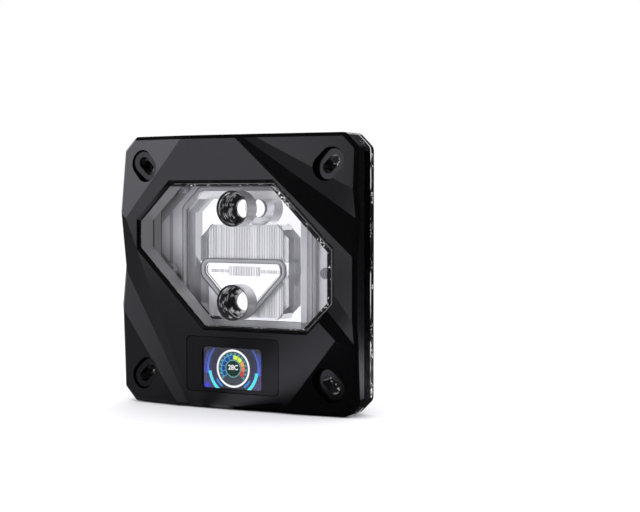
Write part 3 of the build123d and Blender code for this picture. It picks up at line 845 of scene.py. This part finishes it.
def make_screen():
    flat_piece("screen_ground", [ground_glow()], GROUND_LAYER, draw_rectangle)

    # Name, layer, reaches, angles, lower and upper colour, strength
    arcs = (
        ("outer_arcs", ARC_LAYER, 10.2, 11.1, 192, 138, (0.1, 0.25, 1.0), (0.07, 0.09, 0.32), 1.0),
        ("middle_arcs", ARC_LAYER, 11.4, 12.3, 190, 150, (0.09, 0.14, 0.8), (0.06, 0.07, 0.26), 0.9),
        ("inner_arcs", ARC_LAYER, 8.2, 8.8, 212, 145, (0.05, 0.05, 0.16), (0.04, 0.04, 0.07), 0.9),
        ("bright_arcs", BRIGHT_ARC_LAYER, 9.3, 10.5, 234, 187, (0.12, 0.85, 0.95), (0.05, 0.5, 0.85), 1.0),
        ("low_arcs", BRIGHT_ARC_LAYER, 7.6, 8.4, 235, 210, (0.05, 0.3, 0.85), (0.03, 0.06, 0.3), 0.9),
    )
    for name, layer, inner, outer, start, end, low, high, strength in arcs:
        surfaces = [arc_glow(name, low, high, strength)]
        flat_piece(name, surfaces, layer, draw_arc_pair, inner, outer, start, end)

    gauge = [glow("gauge_%d" % number, colour) for number, colour in enumerate(GAUGE_COLOURS)]
    flat_piece("dial_ground", [glow("dial_ground", (0.06, 0.07, 0.09))], DIAL_LAYER, draw_disc, 6.6)
    flat_piece("dial_ring", [glow("dial_ring", (0.95, 0.96, 1.0))], RING_LAYER, draw_band, 6.2, 6.95, 0, 360)
    flat_piece("dial_ticks", [glow("tick_teal", (0.07, 0.36, 0.4))], RING_LAYER, draw_ticks)
    flat_piece("dial_gauge", gauge, RING_LAYER, draw_gauge)
    flat_piece("dial_gauge_edge", [glow("gauge_edge", (0.12, 0.45, 0.75))], TOP_LAYER, draw_gauge_edge)
    flat_piece("dial_middle", [glow("dial_middle", (0.012, 0.035, 0.032))], RING_LAYER, draw_disc, 2.95)
    middle_ring = [glow("middle_ring", (0.2, 0.65, 0.6))]
    flat_piece("dial_middle_ring", middle_ring, RING_LAYER, draw_band, 2.95, 3.15, 0, 360)


def make_reading():
    """The reading in the middle of the dial."""
    lift = 0.35 * MM
    curve = bpy.data.curves.new("reading", "FONT")
    curve.body = "28C"
    curve.size = 2.5 * MM
    curve.align_x = "CENTER"
    curve.align_y = "CENTER"
    curve.offset = 0.05 * MM
    text = bpy.data.objects.new("reading_curve", curve)
    bpy.context.scene.collection.objects.link(text)
    bpy.context.view_layer.update()
    data = bpy.data.meshes.new_from_object(text.evaluated_get(bpy.context.evaluated_depsgraph_get()))
    bpy.data.objects.remove(text)
    mesh = bmesh.new()
    mesh.from_mesh(data)
    bpy.data.meshes.remove(data)
    for vertex in mesh.verts:
        across, up, _ = vertex.co
        vertex.co = (across, SCREEN_LEVEL - TOP_LAYER * SCREEN_STEP, DIAL_CENTRE + lift + up)
    piece("dial_reading", mesh, [glow("reading", (0.95, 0.97, 1.0))])


make_screen()
make_reading()


# Stage: pale floor, white surroundings and soft boxes

# Brightness of the mirrored surroundings by bearing: degrees from straight in front, positive to the left
FRONT_BANDS = (
    (0, 0.02), (8, 0.8), (17, 0.8), (20.9, 0.58), (23.5, 0.15), (28, 0.13), (31, 0.27), (36, 0.24),
    (45, 0.16), (55, 0.22), (72, 0.2), (85, 0.03),
)
DARK_FRONT = ((-95, 0.035), (95, 0.035))
REAR_BANDS = (
    (-179, 0.55), (-171, 0.4), (-166, 0.02), (-143, 0.02), (-139, 0.5), (-128, 0.75), (-112, 0.4),
    (-98, 0.02), (98, 0.02), (112, 0.45), (130, 0.8), (150, 0.45), (179, 0.55),
)

# Name, bearing, elevation, distance, width, height and radiance of each soft box
SOFT_BOXES = (
    ("key", 40.5, 14, 1.6, 1.24, 1.0, 1.18),
    ("high_key", 47, 20, 1.58, 0.7, 0.6, 1.1),
    ("glint_right", -42, 42, 0.6, 0.16, 0.1, 7.0),
    ("glint_top", 8, 62, 0.6, 0.12, 0.08, 7.0),
    ("back_left", 150, 38, 0.9, 0.7, 0.5, 1.6),
    ("back_right", -125, 42, 0.9, 0.5, 0.4, 1.3),
)


def studio_bands(shading, x, y, stops):
    """The bands' colour at a place or in a direction of x and y."""
    seam_colour = (0.55, 0.54, 0.59, 1)
    bearing = shading.maths("ARCTAN2", shading.times(x, -1.0), shading.times(y, -1.0))
    turn = shading.plus(shading.maths("DIVIDE", bearing, 2 * math.pi), 0.5)
    bands = shading.add("ShaderNodeValToRGB")
    elements = bands.color_ramp.elements
    elements[0].position = 0.0
    elements[1].position = 1.0
    for element in elements:
        element.color = seam_colour
    for angle, level in stops:
        elements.new(angle / 360 + 0.5).color = (level, level * 0.98, level * 1.08, 1)
    shading.give(bands.inputs[0], turn)
    return bands.outputs[0]


def make_world():
    """Bands near the horizon for mirrored light, and white for what is seen, scattered or let through."""
    world = bpy.data.worlds.new("world")
    world.use_nodes = True
    sky = Nodes(world.node_tree)
    x, y, z = sky.split(sky.add("ShaderNodeTexCoord").outputs["Generated"])
    bands = studio_bands(sky, x, y, DARK_FRONT + REAR_BANDS)
    near_horizon = sky.ramp(z, 0.15, 0.5, 1.0, 0.0)
    colour = sky.mix(near_horizon, (0.035, 0.035, 0.038), bands)
    paths = sky.add("ShaderNodeLightPath")
    for output, level in (("Is Camera Ray", 1.0), ("Is Diffuse Ray", 1.1), ("Is Transmission Ray", 1.15)):
        colour = sky.mix(paths.outputs[output], colour, (level, level, level * 1.01))
    sky.fill(sky.tree.nodes["Background"], Color=colour)
    bpy.context.scene.world = world


def make_floor():
    """A pale floor that shows the bands to what mirrors it."""
    gap = 0.3 * MM
    mesh = bmesh.new()
    bmesh.ops.create_circle(mesh, cap_ends=True, segments=64, radius=6)
    data = bpy.data.meshes.new("floor")
    mesh.to_mesh(data)
    mesh.free()
    floor = bpy.data.objects.new("floor", data)
    low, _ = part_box("front_cover")
    floor.location.z = low.z - gap
    bpy.context.scene.collection.objects.link(floor)
    surface = Surface("floor", Roughness=1.0, Specular_IOR_Level=0.0, Emission_Color=(1, 1, 1))
    x, y, _ = surface.place()
    bands = studio_bands(surface, x, y, FRONT_BANDS + REAR_BANDS)
    paths = surface.add("ShaderNodeLightPath")
    surface.shade(
        Base_Color=surface.mix(paths.outputs["Is Glossy Ray"], (0.92, 0.92, 0.92), bands),
        Emission_Strength=surface.times(paths.outputs["Is Transmission Ray"], 0.95),
    )
    data.materials.append(surface.material)


def soft_box(name, bearing, elevation, distance, width, height, radiance):
    """A rectangular lamp that faces the part; a bearing of 0 is straight in front, positive to the left."""
    aim = Vector((0, -0.012, 0))
    turn = math.radians(bearing)
    rise = math.radians(elevation)
    flat = math.cos(rise)
    direction = Vector((-math.sin(turn) * flat, -math.cos(turn) * flat, math.sin(rise)))
    data = bpy.data.lights.new(name, "AREA")
    data.shape = "RECTANGLE"
    data.size = width
    data.size_y = height
    data.energy = radiance * math.pi * width * height
    data.color = (1.0, 0.98, 1.1)
    lamp = bpy.data.objects.new(name, data)
    lamp.visible_camera = False
    lamp.visible_transmission = False
    lamp.location = aim + direction * distance
    lamp.rotation_euler = direction.to_track_quat("Z", "Y").to_euler()
    bpy.context.scene.collection.objects.link(lamp)


place_camera()
make_world()
make_floor()
for box in SOFT_BOXES:
    soft_box(*box)

bpy.context.scene.view_settings.view_transform = "Standard"
